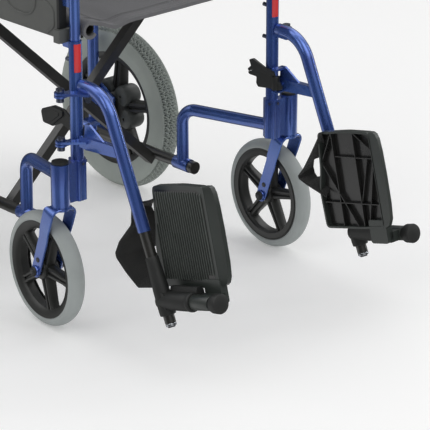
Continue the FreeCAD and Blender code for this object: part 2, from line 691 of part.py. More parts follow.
def brace_bolt():
    """Centre bolt with two heads and the spacer between the bars."""
    y0, y1 = CROSS_Y - BAR_GAP - BAR_T, CROSS_Y + BAR_GAP + BAR_T
    bolt = rod_y(0, y0 - 6, y1 + 6, CROSS_Z, BOLT_R - 0.02)
    bolt = bolt.fuse(rod_y(0, y0 - 7, y0 - 0.1, CROSS_Z, 8.0))
    bolt = bolt.fuse(rod_y(0, y1 + 0.1, y1 + 7, CROSS_Z, 8.0))
    return bolt.fuse(ring((0, CROSS_Y - 1.9, CROSS_Z), (0, CROSS_Y + 1.9, CROSS_Z), 12, 4.9))


def seat_half():
    return box(48, 188, SEAT_Y0, SEAT_Y1, RAIL_Z - 2, RAIL_Z + 4)


def back_half():
    return box(45, 203, REAR_Y - 3, REAR_Y + 3, BACK_Z0, BACK_Z1)


# ---------------------------------------------------------------- build
# Each file is named after its function, with the side added for paired pieces.
PAIRED = (side_frame, frame_caps, seat_saddles, frame_hardware, push_grip, rear_rim, rear_tyre,
          hanger, foot_tube, foot_tip, foot_clamp, foot_knob, footplate, heel_loop,
          arm_frame, arm_pad, side_panel, brake_mount, brake_lever, brake_cable,
          seat_half, back_half)
CASTER = (caster_fork, caster_axle, caster_rim, caster_tyre)
HANDED = (post_strip, latch_lever)  # differ from side to side


def place(shape, side):
    return shape.mirror(Vector(0, 0, 0), Vector(1, 0, 0)) if side == "r" else shape


def export(name, shape):
    shape.translate(Vector(0, Y_SHIFT, 0))
    shape.exportStep("parts/" + name + ".step")


os.makedirs("parts", exist_ok=True)
for side, sign in (("r", -1), ("l", 1)):
    for build in PAIRED:
        name = "frame" if build is side_frame else build.__name__
        export(name + "_" + side, place(build(), side))
    for build in CASTER:
        piece = place(build(), side)
        piece.rotate(Vector(sign * STEM_X, STEM_Y, 0), Vector(0, 0, 1), CASTER_TURN[side])
        export(build.__name__ + "_" + side, piece)
    for build in HANDED:
        export(build.__name__ + "_" + side, place(build(side), side))
export("brace_a", brace(1))
export("brace_b", brace(-1))
export("brace_bolt", brace_bolt())
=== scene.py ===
# A wheelchair on two rear wheels and two casters, standing on z = 0 and facing -Y.
# Its left side is +X. Pieces are drawn in millimetres for the left side, x running
# outboard from the middle of the chair, and the right side is mirrored from them.
import bpy
import bmesh
import math
import random
from mathutils import Matrix, Vector


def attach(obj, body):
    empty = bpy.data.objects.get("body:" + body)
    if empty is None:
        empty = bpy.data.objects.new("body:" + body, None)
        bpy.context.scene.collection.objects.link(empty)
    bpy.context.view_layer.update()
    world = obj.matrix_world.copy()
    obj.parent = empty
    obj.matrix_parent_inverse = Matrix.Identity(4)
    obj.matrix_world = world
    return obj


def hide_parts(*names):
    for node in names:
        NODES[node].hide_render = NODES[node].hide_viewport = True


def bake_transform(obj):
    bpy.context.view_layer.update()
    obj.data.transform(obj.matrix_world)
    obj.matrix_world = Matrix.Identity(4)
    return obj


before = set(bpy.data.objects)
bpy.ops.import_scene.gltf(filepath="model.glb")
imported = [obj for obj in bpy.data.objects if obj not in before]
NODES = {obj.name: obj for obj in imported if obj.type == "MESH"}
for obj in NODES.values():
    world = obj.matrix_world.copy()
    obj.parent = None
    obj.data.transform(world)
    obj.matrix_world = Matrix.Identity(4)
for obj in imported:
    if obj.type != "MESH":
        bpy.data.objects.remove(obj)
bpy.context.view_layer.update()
random.seed(7)

Y_SHIFT = 13.24  # from the drawing's y to the scene's y
SIDE_WORD = {"r": "right", "l": "left"}
SIDE_SIGN = {"r": -1, "l": 1}

POST_X = 223.0  # front posts, leg tubes, back posts and push grips
REAR_AXLE = (268.0, 285.0, 158.0)
CASTER_AXLE = (262.0, -133.0, 100.0)
CASTER_STEM = (262.0, -180.0)
CASTER_TURN = {"r": (CASTER_STEM, -6.0), "l": (CASTER_STEM, -3.0)}  # pivot, degrees about z


# ------------------------------------------------------------------ materials
def new_material(name):
    material = bpy.data.materials.new(name)
    material.use_nodes = True
    tree = material.node_tree
    return material, tree, tree.nodes["Principled BSDF"]


def set_inputs(node, values):
    for key, value in values.items():
        node.inputs[key].default_value = value


def add_node(tree, kind, inputs=None, **settings):
    node = tree.nodes.new(kind)
    set_inputs(node, inputs or {})
    for key, value in settings.items():
        setattr(node, key, value)
    return node


def grain_height(tree, vector, pattern, grain):
    """Socket with the fine relief: crossed waves, cells or plain noise."""
    link = tree.links.new
    if pattern == "weave":
        wave = {"Scale": grain, "Distortion": 0.6}
        warp = add_node(tree, "ShaderNodeTexWave", wave)
        weft = add_node(tree, "ShaderNodeTexWave", wave, bands_direction="Y")
        product = add_node(tree, "ShaderNodeMath", operation="MULTIPLY")
        for i, node in enumerate((warp, weft)):
            link(vector, node.inputs["Vector"])
            link(node.outputs["Fac"], product.inputs[i])
        return product.outputs[0]
    if pattern == "cell":
        node = add_node(tree, "ShaderNodeTexVoronoi", {"Scale": grain})
        output = "Distance"
    else:
        node = add_node(tree, "ShaderNodeTexNoise", {"Scale": grain, "Detail": 3.0})
        output = "Fac"
    link(vector, node.inputs["Vector"])
    return node.outputs[output]


def surface(name, light, dark, rough, drift, grain, bump, depth=0.0003, metallic=0.0,
            coat=0.0, coat_rough=0.2, sheen=0.0, specular=0.5, contrast=0.5, pattern="noise"):
    """Colour and roughness that drift together, with a fine bump.

    light and dark are the two tones, contrast the width of the blend between them;
    drift and grain are texture scales; bump is the strength and depth the distance in metres.
    """
    material, tree, shader = new_material(name)
    link = tree.links.new
    coords = add_node(tree, "ShaderNodeTexCoord")
    mapping = add_node(tree, "ShaderNodeMapping")
    link(coords.outputs["Object"], mapping.inputs["Vector"])
    vector = mapping.outputs[0]
    patches = add_node(tree, "ShaderNodeTexNoise",
                       {"Scale": drift, "Detail": 4.0, "Roughness": 0.55})
    link(vector, patches.inputs["Vector"])
    ramp = add_node(tree, "ShaderNodeValToRGB")
    low, high = ramp.color_ramp.elements
    low.position = 0.5 - contrast / 2
    high.position = 0.5 + contrast / 2
    low.color = (*dark, 1)
    high.color = (*light, 1)
    link(patches.outputs["Fac"], ramp.inputs["Fac"])
    link(ramp.outputs["Color"], shader.inputs["Base Color"])
    rough_range = add_node(tree, "ShaderNodeMapRange", {"To Min": rough[0], "To Max": rough[1]})
    link(patches.outputs["Fac"], rough_range.inputs["Value"])
    link(rough_range.outputs[0], shader.inputs["Roughness"])
    height = grain_height(tree, vector, pattern, grain)
    relief = add_node(tree, "ShaderNodeBump", {"Strength": bump, "Distance": depth})
    link(height, relief.inputs["Height"])
    link(relief.outputs[0], shader.inputs["Normal"])
    set_inputs(shader, {"Metallic": metallic, "Coat Weight": coat, "Coat Roughness": coat_rough,
                        "Sheen Weight": sheen, "Specular IOR Level": specular})
    return material


SURFACES = {
    "frame_blue": dict(
        light=(0.066, 0.158, 0.50), dark=(0.058, 0.108, 0.41), rough=(0.18, 0.28),
        metallic=0.68, coat=1.0, coat_rough=0.05, drift=14, grain=1600, bump=0.05, depth=0.0001),
    "black_paint": dict(
        light=(0.024, 0.023, 0.020), dark=(0.013, 0.013, 0.012), rough=(0.28, 0.4),
        coat=0.7, coat_rough=0.12, drift=25, grain=900, bump=0.12, depth=0.0002),
    "black_plastic": dict(
        light=(0.022, 0.023, 0.022), dark=(0.013, 0.014, 0.0135), rough=(0.42, 0.6),
        drift=18, grain=1400, bump=0.25, specular=0.45),
    "plate_plastic": dict(
        light=(0.034, 0.041, 0.037), dark=(0.024, 0.029, 0.026), rough=(0.30, 0.44),
        coat=0.15, drift=16, grain=1200, bump=0.2, specular=0.6),
    # lighter copy of plate_plastic for the tread ribs: painted highlight on the rib tops
    "plate_rib_painted_highlight": dict(
        light=(0.092, 0.104, 0.096), dark=(0.070, 0.080, 0.074), rough=(0.28, 0.42),
        coat=0.1, drift=16, grain=1200, bump=0.15, depth=0.0002, specular=0.6),
    # darker copy of plate_plastic for the field under the tread ribs, the inner face under the
    # plate and the ribs there: painted shade
    "plate_painted_shade": dict(
        light=(0.017, 0.017, 0.016), dark=(0.010, 0.010, 0.010), rough=(0.22, 0.34), coat=0.3,
        coat_rough=0.15, drift=16, grain=1200, bump=0.15, depth=0.0002, specular=0.6),
    # darker copy of the tyre rubber for the groove floors: painted shade
    "tyre_groove_painted_shade": dict(
        light=(0.115, 0.135, 0.122), dark=(0.085, 0.10, 0.092), rough=(0.7, 0.85),
        drift=22, grain=1400, bump=0.3, depth=0.0004),
    "rim_plastic": dict(
        light=(0.030, 0.031, 0.029), dark=(0.018, 0.019, 0.018), rough=(0.34, 0.5),
        coat=0.1, drift=20, grain=1200, bump=0.15),
    "hub_grey": dict(
        light=(0.075, 0.082, 0.080), dark=(0.055, 0.06, 0.058), rough=(0.38, 0.5),
        drift=25, grain=1200, bump=0.15),
    "panel_grey": dict(
        light=(0.104, 0.108, 0.102), dark=(0.084, 0.087, 0.083), rough=(0.45, 0.6),
        drift=14, grain=1500, bump=0.3, pattern="cell"),
    "bright_steel": dict(
        light=(0.62, 0.64, 0.67), dark=(0.42, 0.44, 0.47), rough=(0.12, 0.3),
        metallic=1.0, coat_rough=0.1, drift=60, grain=900, bump=0.08, depth=0.0002),
    "bolt_steel": dict(
        light=(0.16, 0.18, 0.24), dark=(0.08, 0.09, 0.13), rough=(0.16, 0.3),
        metallic=0.9, coat=0.3, drift=60, grain=900, bump=0.1, depth=0.0002),
    "dark_steel": dict(
        light=(0.06, 0.062, 0.07), dark=(0.035, 0.036, 0.04), rough=(0.28, 0.45),
        metallic=0.6, coat=0.2, drift=60, grain=900, bump=0.1, depth=0.0002),
    "red_film": dict(
        light=(0.66, 0.018, 0.022), dark=(0.56, 0.014, 0.018), rough=(0.25, 0.4),
        coat=0.6, coat_rough=0.1, drift=40, grain=900, bump=0.05, depth=0.0001),
    "grip_rubber": dict(
        light=(0.020, 0.020, 0.020), dark=(0.012, 0.012, 0.012), rough=(0.6, 0.8),
        drift=40, grain=1500, bump=0.4, depth=0.0004),
    "tyre_grey": dict(
        light=(0.37, 0.405, 0.375), dark=(0.31, 0.34, 0.318), rough=(0.62, 0.8),
        drift=22, grain=1400, bump=0.3, depth=0.0004, sheen=0.05),
    "caster_tyre_grey": dict(
        light=(0.37, 0.40, 0.395), dark=(0.31, 0.335, 0.33), rough=(0.5, 0.68),
        drift=18, grain=1400, bump=0.25),
    "black_webbing": dict(
        light=(0.018, 0.018, 0.017), dark=(0.010, 0.010, 0.010), rough=(0.75, 0.9), drift=50,
        grain=700, bump=0.6, depth=0.0006, sheen=0.15, specular=0.25, pattern="weave"),
    "pad_black": dict(
        light=(0.022, 0.022, 0.022), dark=(0.014, 0.014, 0.014), rough=(0.42, 0.58),
        drift=30, grain=600, bump=0.45, depth=0.0006, pattern="cell"),
    "cable_black": dict(
        light=(0.02, 0.02, 0.02), dark=(0.012, 0.012, 0.012), rough=(0.4, 0.6),
        drift=50, grain=900, bump=0.2),
    "seat_cloth": dict(
        light=(0.125, 0.125, 0.131), dark=(0.104, 0.104, 0.110), rough=(0.58, 0.72), drift=12,
        grain=420, bump=0.35, depth=0.0005, sheen=0.2, specular=0.35, contrast=0.8,
        pattern="weave"),
    "thread": dict(
        light=(0.10, 0.10, 0.105), dark=(0.07, 0.07, 0.075), rough=(0.7, 0.9),
        drift=200, grain=2000, bump=0.3),
}
MATERIALS = {name: surface(name, **values) for name, values in SURFACES.items()}


# ------------------------------------------------------------------ mesh building
def link_object(name, data):
    item = bpy.data.objects.new(name, data)
    bpy.context.scene.collection.objects.link(item)
    return item


def add_bevel(item, width, angle):
    """Rounded edges; width in millimetres, angle the least bend in degrees."""
    bevel = item.modifiers.new("bevel", "BEVEL")
    bevel.width = width / 1000.0
    bevel.segments = 2
    bevel.limit_method = "ANGLE"
    bevel.angle_limit = math.radians(angle)


class Solid:
    """Vertices and faces of one piece in millimetres, with a material for each face."""

    def __init__(self):
        self.verts, self.faces, self.face_slots, self.slots = [], [], [], []

    def slot(self, material):
        if material not in self.slots:
            self.slots.append(material)
        return self.slots.index(material)

    def add(self, verts, faces, material):
        start = len(self.verts)
        self.verts.extend(tuple(p) for p in verts)
        self.faces.extend([start + i for i in face] for face in faces)
        self.face_slots.extend([self.slot(material)] * len(faces))

    def rings(self, rings, material, closed=False):
        """Skin a list of equal-length loops; capped at both ends unless closed."""
        n, count = len(rings[0]), len(rings)
        faces = []
        for i in range(count if closed else count - 1):
            a, b = i * n, ((i + 1) % count) * n
            for j in range(n):
                k = (j + 1) % n
                faces.append([a + j, a + k, b + k, b + j])
        if not closed:
            faces.append(list(range(n))[::-1])
            faces.append([(count - 1) * n + j for j in range(n)])
        self.add([p for ring in rings for p in ring], faces, material)

    def prism(self, outline, to_xyz, start, end, material):
        """Outline of (a, b) points from start to end; to_xyz(t, a, b) places a point."""
        n = len(outline)
        verts = [to_xyz(t, a, b) for t in (start, end) for a, b in outline]
        faces = [list(range(n))[::-1], [n + i for i in range(n)]]
        for i in range(n):
            j = (i + 1) % n
            faces.append([i, j, n + j, n + i])
        self.add(verts, faces, material)

    def build(self, name, side, bevel=0.0, smooth=35, turn=None):
        """Object in metres; smooth is the sharp-edge angle, turn a (pivot, degrees) pair."""
        sign = SIDE_SIGN[side]
        verts = [Vector((sign * x / 1000.0, (y + Y_SHIFT) / 1000.0, z / 1000.0))
                 for x, y, z in self.verts]
        if turn:
            (x, y), angle = turn
            pivot = Vector((sign * x / 1000.0, (y + Y_SHIFT) / 1000.0, 0))
            rotation = Matrix.Rotation(math.radians(angle), 4, "Z")
            verts = [rotation @ (p - pivot) + pivot for p in verts]
        mesh = bpy.data.meshes.new(name)
        mesh.from_pydata([tuple(p) for p in verts], [], self.faces)
        for material in self.slots:
            mesh.materials.append(MATERIALS[material])
        mesh.polygons.foreach_set("material_index", self.face_slots)
        bm = bmesh.new()
        bm.from_mesh(mesh)
        bmesh.ops.remove_doubles(bm, verts=bm.verts, dist=1e-6)
        bmesh.ops.recalc_face_normals(bm, faces=bm.faces)
        bm.to_mesh(mesh)
        bm.free()
        item = link_object(name, mesh)
        mesh.polygons.foreach_set("use_smooth", [True] * len(mesh.polygons))
        mesh.set_sharp_from_angle(angle=math.radians(smooth))
        if bevel > 0:
            add_bevel(item, bevel, 38)
        return item

    def place(self, part, side, slot, body, **options):
        """Build the piece in place of its CAD part and let it ride on a body."""
        item = self.build(f"{part}_vis_{side}", side, **options)
        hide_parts(f"{part}_{side}")
        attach(item, f"{SIDE_WORD[side]}_{body}")


def along_x(x, y, z):
    return (x, y, z)


def along_z(z, x, y):
    return (x, y, z)


def mirrored(half):
    """Profile of (x, radius) points followed by its mirror image in x."""
    return half + [(-x, r) for x, r in reversed(half)]


def circle(centre, u, w, radius, count):
    angles = [2 * math.pi * j / count for j in range(count)]
    return [centre + u * (radius * math.cos(a)) + w * (radius * math.sin(a)) for a in angles]


def arc_path(points, bends, step=3.0):
    """Polyline through points, its inner corners rounded to the bend radii."""
    pts = [Vector(p) for p in points]
    path = [pts[0]]
    for before, corner, after, radius in zip(pts, pts[1:], pts[2:], bends):
        a = (before - corner).normalized()
        b = (after - corner).normalized()
        half = a.angle(b) / 2
        cut = radius / math.tan(half)
        centre = corner + (a + b).normalized() * (radius / math.sin(half))
        u = corner + a * cut - centre
        w = corner + b * cut - centre
        angle = u.angle(w)
        n = max(4, int(radius * angle / step))
        for k in range(n + 1):
            t = k / n
            path.append(centre + (math.sin((1 - t) * angle) * u
                                  + math.sin(t * angle) * w) / math.sin(angle))
    path.append(pts[-1])
    return path


def round_corners(outline, radius, steps=5):
    """Closed 2D outline with each corner eased by a quadratic curve."""
    rounded = []
    count = len(outline)
    for i in range(count):
        p = Vector(outline[i])
        a = Vector(outline[i - 1]) - p
        b = Vector(outline[(i + 1) % count]) - p
        cut = min(radius, a.length * 0.45, b.length * 0.45)
        start, end = p + a.normalized() * cut, p + b.normalized() * cut
        for k in range(steps + 1):
            t = k / steps
            rounded.append(tuple((1 - t) ** 2 * start + 2 * t * (1 - t) * p + t * t * end))
    return rounded


def inset(outline, depth):
    moved = []
    count = len(outline)
    for i in range(count):
        p = Vector(outline[i])
        a = (p - Vector(outline[i - 1])).normalized()
        b = (Vector(outline[(i + 1) % count]) - p).normalized()
        normal = Vector((-a.y, a.x))
        mitre = normal + Vector((-b.y, b.x))
        mitre = mitre / max(0.3, mitre.dot(normal))
        moved.append(tuple(p + mitre * depth))
    return moved


def sweep(solid, path, radius, material, seg):
    """Round tube along a path; radius is a number or a list with one entry a point."""
    pts = [Vector(p) for p in path]
    n = len(pts)
    radii = radius if isinstance(radius, list) else [radius] * n
    tangents = [(pts[min(n - 1, i + 1)] - pts[max(0, i - 1)]).normalized() for i in range(n)]
    first = tangents[0]
    up = Vector((1, 0, 0)) if abs(first.x) < 0.9 else Vector((0, 0, 1))
    u = (up - first * up.dot(first)).normalized()
    rings = []
    for p, tangent, r in zip(pts, tangents, radii):
        u = (u - tangent * u.dot(tangent)).normalized()
        rings.append(circle(p, u, tangent.cross(u), r, seg))
    solid.rings(rings, material)


def bead_loop(solid, x, outline, radius, material, seg):
    """Round bead along a closed (y, z) outline at x."""
    sweep(solid, [(x, y, z) for y, z in outline + outline[:1]], radius, material, seg)


def lathe(solid, profile, centre, material, seg, displace=None):
    """Closed (x, radius) profile spun round the X axis at centre."""
    rings = []
    for i in range(seg):
        angle = 2 * math.pi * i / seg
        ring = []
        for k, (x, r) in enumerate(profile):
            if displace:
                x, r = displace(x, r, i, k)
            ring.append((centre[0] + x, centre[1] - r * math.cos(angle),
                         centre[2] + r * math.sin(angle)))
        rings.append(ring)
    solid.rings(rings, material, closed=True)


def disc(solid, start, end, r0, r1, material, seg=32, dome=0.0):
    """Turned piece from start to end with rounded rims and an optional domed far face."""
    start, end = Vector(start), Vector(end)
    length = (end - start).length
    axis = (end - start).normalized()
    up = Vector((0, 0, 1)) if abs(axis.z) < 0.9 else Vector((1, 0, 0))
    u = (up - axis * up.dot(axis)).normalized()
    w = axis.cross(u)
    rim = min(length * 0.25, r1 * 0.18)
    profile = [  # distance from start, radius
        (0, r0 * 0.2), (0, r0 - rim), (rim * 0.3, r0 - rim * 0.3), (rim, r0),
        (length - rim, r1), (length - rim * 0.3, r1 - rim * 0.3), (length, r1 - rim),
        (length + dome, r1 * 0.2)]
    solid.rings([circle(start + axis * h, u, w, r, seg) for h, r in profile], material)


def falloff(distance, width):
    return math.exp(-(distance / width) ** 2)


# ------------------------------------------------------------------ CAD pieces kept as they are
CENTRE_FINISH = {"brace_a": "black_paint", "brace_b": "black_paint", "brace_bolt": "bolt_steel"}
SIDE_FINISH = {
    "frame": "frame_blue", "frame_caps": "black_plastic", "seat_saddles": "black_plastic",
    "frame_hardware": "bolt_steel", "post_strip": "red_film", "push_grip": "grip_rubber",
    "rear_rim": "rim_plastic", "rear_tyre": "tyre_grey", "caster_fork": "frame_blue",
    "caster_axle": "dark_steel", "caster_rim": "rim_plastic",
    "caster_tyre": "caster_tyre_grey", "hanger": "frame_blue",
    "latch_lever": "black_plastic", "foot_tube": "black_paint", "foot_tip": "bright_steel",
    "foot_clamp": "black_plastic", "foot_knob": "black_plastic",
    "footplate": "plate_plastic", "heel_loop": "black_webbing", "arm_frame": "frame_blue",
    "arm_pad": "pad_black", "side_panel": "panel_grey", "brake_mount": "black_plastic",
    "brake_lever": "dark_steel", "brake_cable": "cable_black", "seat_half": "seat_cloth",
    "back_half": "seat_cloth"}
# bevel widths in millimetres
CENTRE_BEVEL = {"brace_a": 2.2, "brace_b": 2.2, "brace_bolt": 0.8}
SIDE_BEVEL = {"hanger": 1.0, "frame": 0.9, "frame_hardware": 0.7, "seat_saddles": 1.2,
              "frame_caps": 0.8, "brake_mount": 0.8, "brake_lever": 1.0, "arm_frame": 0.6}


def for_nodes(centre, sides):
    """CAD node names and values from a table of centre pieces and one of paired pieces."""
    paired = {f"{part}_{side}": value for part, value in sides.items() for side in "rl"}
    return {**paired, **centre}.items()


def finish_cad():
    for node, material in for_nodes(CENTRE_FINISH, SIDE_FINISH):
        mesh = NODES[node].data
        mesh.materials.clear()
        mesh.materials.append(MATERIALS[material])
        mesh.polygons.foreach_set("material_index", [0] * len(mesh.polygons))


def soften_cad():
    for node, width in for_nodes(CENTRE_BEVEL, SIDE_BEVEL):
        weld = NODES[node].modifiers.new("weld", "WELD")
        weld.merge_threshold = 0.00002
        add_bevel(NODES[node], width, 40)


# ------------------------------------------------------------------ wheels
SPOKES = 5
SPOKE_PITCH = 72
# half of the spoke section, as shares of half thickness (x) and half width; it has a
# groove down each face, and the other half is its negative
SPOKE_HALF = [(-1, -0.75), (-1, -0.30), (-0.55, -0.16), (-0.55, 0.16),
              (-1, 0.30), (-1, 0.75), (-0.6, 1), (0.6, 1)]
SPOKE_SECTION = SPOKE_HALF + [(-x, y) for x, y in [(x, -y) for x, y in SPOKE_HALF]]


def spoked_rim(solid, centre, outer, inner, width, hub, root_width, tip_width, thickness,
               first_angle):
    """Rim band and five spokes; outer, inner and hub are radii."""
    half = width / 2
    band = mirrored([(-half, outer), (-half + 1.5, outer - 5),
                     (-half + 4, inner + 3), (-half + 8, inner)])
    band += [(half - 3, outer + 0.2), (-half + 3, outer + 0.2)]
    lathe(solid, band, centre, "rim_plastic", 120)
    root = hub * 0.55
    for i in range(SPOKES):
        angle = math.radians(first_angle + SPOKE_PITCH * i)
        cos, sin = math.cos(angle), math.sin(angle)
        rings = []
        for t in (0, 0.12, 0.3, 0.55, 0.8, 0.93, 1.0):
            radius = root + (inner + 1.5 - root) * t
            flare = 2.5 * max(0, t - 0.85) / 0.15
            half_width = (root_width + (tip_width - root_width) * min(1, t * 1.2)) / 2 + flare
            half_thick = thickness / 2 * (1 - 0.12 * t)
            ring = []
            for x_share, side_share in SPOKE_SECTION:
                across = half_width * side_share
                ring.append((centre[0] + half_thick * x_share,
                             centre[1] - (radius * cos - across * sin),
                             centre[2] + radius * sin + across * cos))
            rings.append(ring)
        solid.rings(rings, "rim_plastic")


def rear_rim(side):
    solid = Solid()
    first_angle = 12
    spoked_rim(solid, REAR_AXLE, outer=109.5, inner=96, width=43, hub=34, root_width=27,
               tip_width=19, thickness=26, first_angle=first_angle)
    hub = mirrored([(-23, 8), (-23, 20), (-22, 27), (-19, 31), (-10, 35)])
    lathe(solid, hub, REAR_AXLE, "rim_plastic", 64)
    # five round bosses between the spokes
    boss = mirrored([(-20, 3), (-20, 14), (-17.5, 18.5), (-12, 20.5)])
    boss_circle = 37
    x, y, z = REAR_AXLE
    for i in range(SPOKES):
        angle = math.radians(first_angle + SPOKE_PITCH / 2 + SPOKE_PITCH * i)
        centre = (x, y - boss_circle * math.cos(angle), z + boss_circle * math.sin(angle))
        lathe(solid, boss, centre, "hub_grey", 32)
    core = [(-27, 2), (-27, 11), (-25.5, 14), (-22, 15), (20, 15), (20, 2)]
    lathe(solid, core, REAR_AXLE, "hub_grey", 48)
    solid.place("rear_rim", side, "black_plastic", "rear_wheel", bevel=0.8)


def triangle_wave(t):
    return 4 * abs(t % 1.0 - 0.5) - 1


def rear_tyre(side):
    """Tyre with a zigzag block tread, its groove floors painted darker than the tops as shade in
    the grooves.
    """
    radius = REAR_AXLE[2]
    half_width = 24.6
    crown_centre = 132.5  # radius about which the tread is rounded
    tread_start = 149.5
    pitches, rows = 92, 5.5  # blocks round the tyre, rows in half its width
    groove_share, groove_depth = 0.30, 3.0
    crown_steps = 56
    crown = []
    for k in range(crown_steps + 1):
        angle = (-1 + 2 * k / crown_steps) * math.pi * 0.60
        crown.append((half_width * math.sin(angle),
                      crown_centre + (radius - crown_centre) * math.cos(angle)))
    profile = [(-20, 107.2), (-half_width * 0.93, 116), *crown[2:-2],
               (half_width * 0.93, 116), (20, 107.2)]
    seg = 828
    sunken = set()  # vertex numbers of the groove floors

    def tread(x, r, i, k):
        if r < tread_start:
            return x, r
        # kept in this order, since block edges fall on whole pitches
        pitch = 2 * math.pi * i / seg / (2 * math.pi) * pitches
        row = (x / half_width + 0.10 * triangle_wave(pitch)) * rows
        groove = row - math.floor(row) < groove_share
        cross = (pitch + 0.5 * math.floor(row)) % 1.0 < groove_share
        if not (groove or cross):
            return x, r
        sunken.add(i * len(profile) + k)
        height = math.hypot(x, r - crown_centre)
        scale = (height - groove_depth) / height
        return x * scale, crown_centre + (r - crown_centre) * scale

    solid = Solid()
    lathe(solid, profile, REAR_AXLE, "tyre_grey", seg, tread)
    # groove floors get the darker material: painted shade in the grooves
    groove_shade_slot = solid.slot("tyre_groove_painted_shade")
    for i, face in enumerate(solid.faces):
        if sunken.issuperset(face):
            solid.face_slots[i] = groove_shade_slot
    # raised line near the rim on each wall
    for x in (-half_width * 0.90, half_width * 0.90):
        line = [(x - 0.9, 121.5), (x - 0.9, 123), (x + 0.9, 123), (x + 0.9, 121.5)]
        lathe(solid, line, REAR_AXLE, "tyre_grey", 120)
    solid.place("rear_tyre", side, "tyre_grey", "rear_wheel", smooth=28)


def caster_rim(side):
    solid = Solid()
    spoked_rim(solid, CASTER_AXLE, outer=84.8, inner=70, width=29.5, hub=17, root_width=21,
               tip_width=15, thickness=20, first_angle={"r": -3, "l": 12}[side])
    ridge = [(-13, 72), (-13, 82), (-14.9, 82), (-14.9, 72)]
    lathe(solid, ridge, CASTER_AXLE, "rim_plastic", 96)
    hub = mirrored([(-16.5, 5), (-16.5, 13), (-14, 17)])
    lathe(solid, hub, CASTER_AXLE, "rim_plastic", 48)
    solid.place("caster_rim", side, "black_plastic", "caster_wheel", bevel=0.7,
                turn=CASTER_TURN[side])


def caster_tyre(side):
    half_width, crown_height = 15.9, 12.0
    crown_start = CASTER_AXLE[2] - crown_height
    steps = 22
    profile = [(-12.5, 84.0), (-15.2, 86)]
    for k in range(steps + 1):
        angle = -math.pi * 0.5 + math.pi * k / steps
        profile.append((half_width * math.sin(angle),
                        crown_start + crown_height * math.cos(angle)))
    profile += [(15.2, 86), (12.5, 84.0)]
    solid = Solid()
    lathe(solid, profile, CASTER_AXLE, "caster_tyre_grey", 144)
    solid.place("caster_tyre", side, "caster_tyre_grey", "caster_wheel",
                turn=CASTER_TURN[side])


# distance down the leg from the axle, half width, step outwards
FORK_LEG = [(11.6, 2.8, 0), (10.0, 7.0, 0), (6.5, 9.8, 0), (0, 11.7, 0), (-30, 11.8, 0),
            (-70, 12.1, 0), (-84, 12.6, 1.6), (-100, 13.3, 2.0)]


def caster_fork(side):
    """One flat strap bent over the wheel, with its stem."""
    x, y, z = CASTER_AXLE
    stem_y = CASTER_STEM[1]
    leg_gap, top_gap = 21, 23.0  # strap centre line either side of the wheel
    top_z = 223.0
    bend, bend_steps = 9.0, 8
    lean = Vector((0, y - stem_y, -125)).normalized()
    leg_across = Vector((0, 0.936, 0.352))
    # stations of point, direction across the strap, its normal and half width
    half = [(Vector((x + leg_gap + out, y, z)) + lean * down, leg_across,
             Vector((1, 0, 0)), half_width) for down, half_width, out in FORK_LEG]
    for k in range(bend_steps + 1):
        share = k / bend_steps
        angle = math.radians(90 * share)
        cos, sin = math.cos(angle), math.sin(angle)
        point = Vector((x + top_gap - bend + bend * cos, stem_y + (1 - share) * 4.0,
                        top_z - bend + bend * sin))
        across = leg_across.lerp(Vector((0, 1, 0)), share).normalized()
        half.append((point, across, Vector((cos, 0, sin)), 13.5 + 0.3 * share))
    other = [(Vector((2 * x - p.x, p.y, p.z)), across, Vector((-normal.x, 0, normal.z)), width)
             for p, across, normal, width in reversed(half)]
    rings = []
    for p, across, normal, half_width in half + other:
        thick = normal * 2.0
        edge = across * half_width
        inner = across * (half_width - 0.8)
        rings.append([
            p + inner + thick, p + edge + thick * 0.4, p + edge - thick * 0.4,
            p + inner - thick, p - inner - thick, p - edge - thick * 0.4,
            p - edge + thick * 0.4, p - inner + thick])
    solid = Solid()
    solid.rings(rings, "frame_blue")
    disc(solid, (x, stem_y, 219), (x, stem_y, 226.5), 15, 15, "frame_blue")
    disc(solid, (x, stem_y, 224), (x, stem_y, 290), 7.9, 7.9, "bright_steel")
    # axle boss, and a small dark disc above it, on both legs
    for sign in (1, -1):
        face_x = x + sign * 23
        disc(solid, (face_x, y, z), (face_x + sign * 3, y, z), 10, 9.5, "frame_blue")
        spot = Vector((face_x, y, z)) + lean * -24
        disc(solid, spot, spot + Vector((sign * 1.2, 0, 0)), 4.5, 4.2, "dark_steel")
    solid.place("caster_fork", side, "frame_blue", "caster", turn=CASTER_TURN[side], smooth=30)


def caster_axle(side):
    x, y, z = CASTER_AXLE
    solid = Solid()
    for sign in (1, -1):
        cap_x = x + sign * 25.5
        disc(solid, (cap_x, y, z), (cap_x + sign * 4.5, y, z), 8.5, 7.5, "black_plastic",
             dome=1.0)
        disc(solid, (cap_x + sign * 4, y, z), (cap_x + sign * 6, y, z), 4.5, 3.5,
             "dark_steel")
    disc(solid, (x - 26, y, z), (x + 26, y, z), 4, 4, "dark_steel")
    solid.place("caster_axle", side, "dark_steel", "caster", turn=CASTER_TURN[side])


# ------------------------------------------------------------------ foot rigging
PLATE_TILT = math.radians(15.0)
LEG_TILT = math.radians(24.0)
HINGE_X = 222  # axis line of the plate's hinge, clamp barrel and knob


def foot(x, ahead, up):
    """Point in the folded-up footplate's tilted frame."""
    return (x, -391.0 - ahead * math.cos(PLATE_TILT) + up * math.sin(PLATE_TILT),
            111.0 + ahead * math.sin(PLATE_TILT) + up * math.cos(PLATE_TILT))


def foot_ahead(ahead, x, up):
    return foot(x, ahead, up)


def leg(up):
    """Point on the leg tube's axis, up from its foot."""
    return (POST_X, -407.0 + up * math.sin(LEG_TILT), 77.0 + up * math.cos(LEG_TILT))


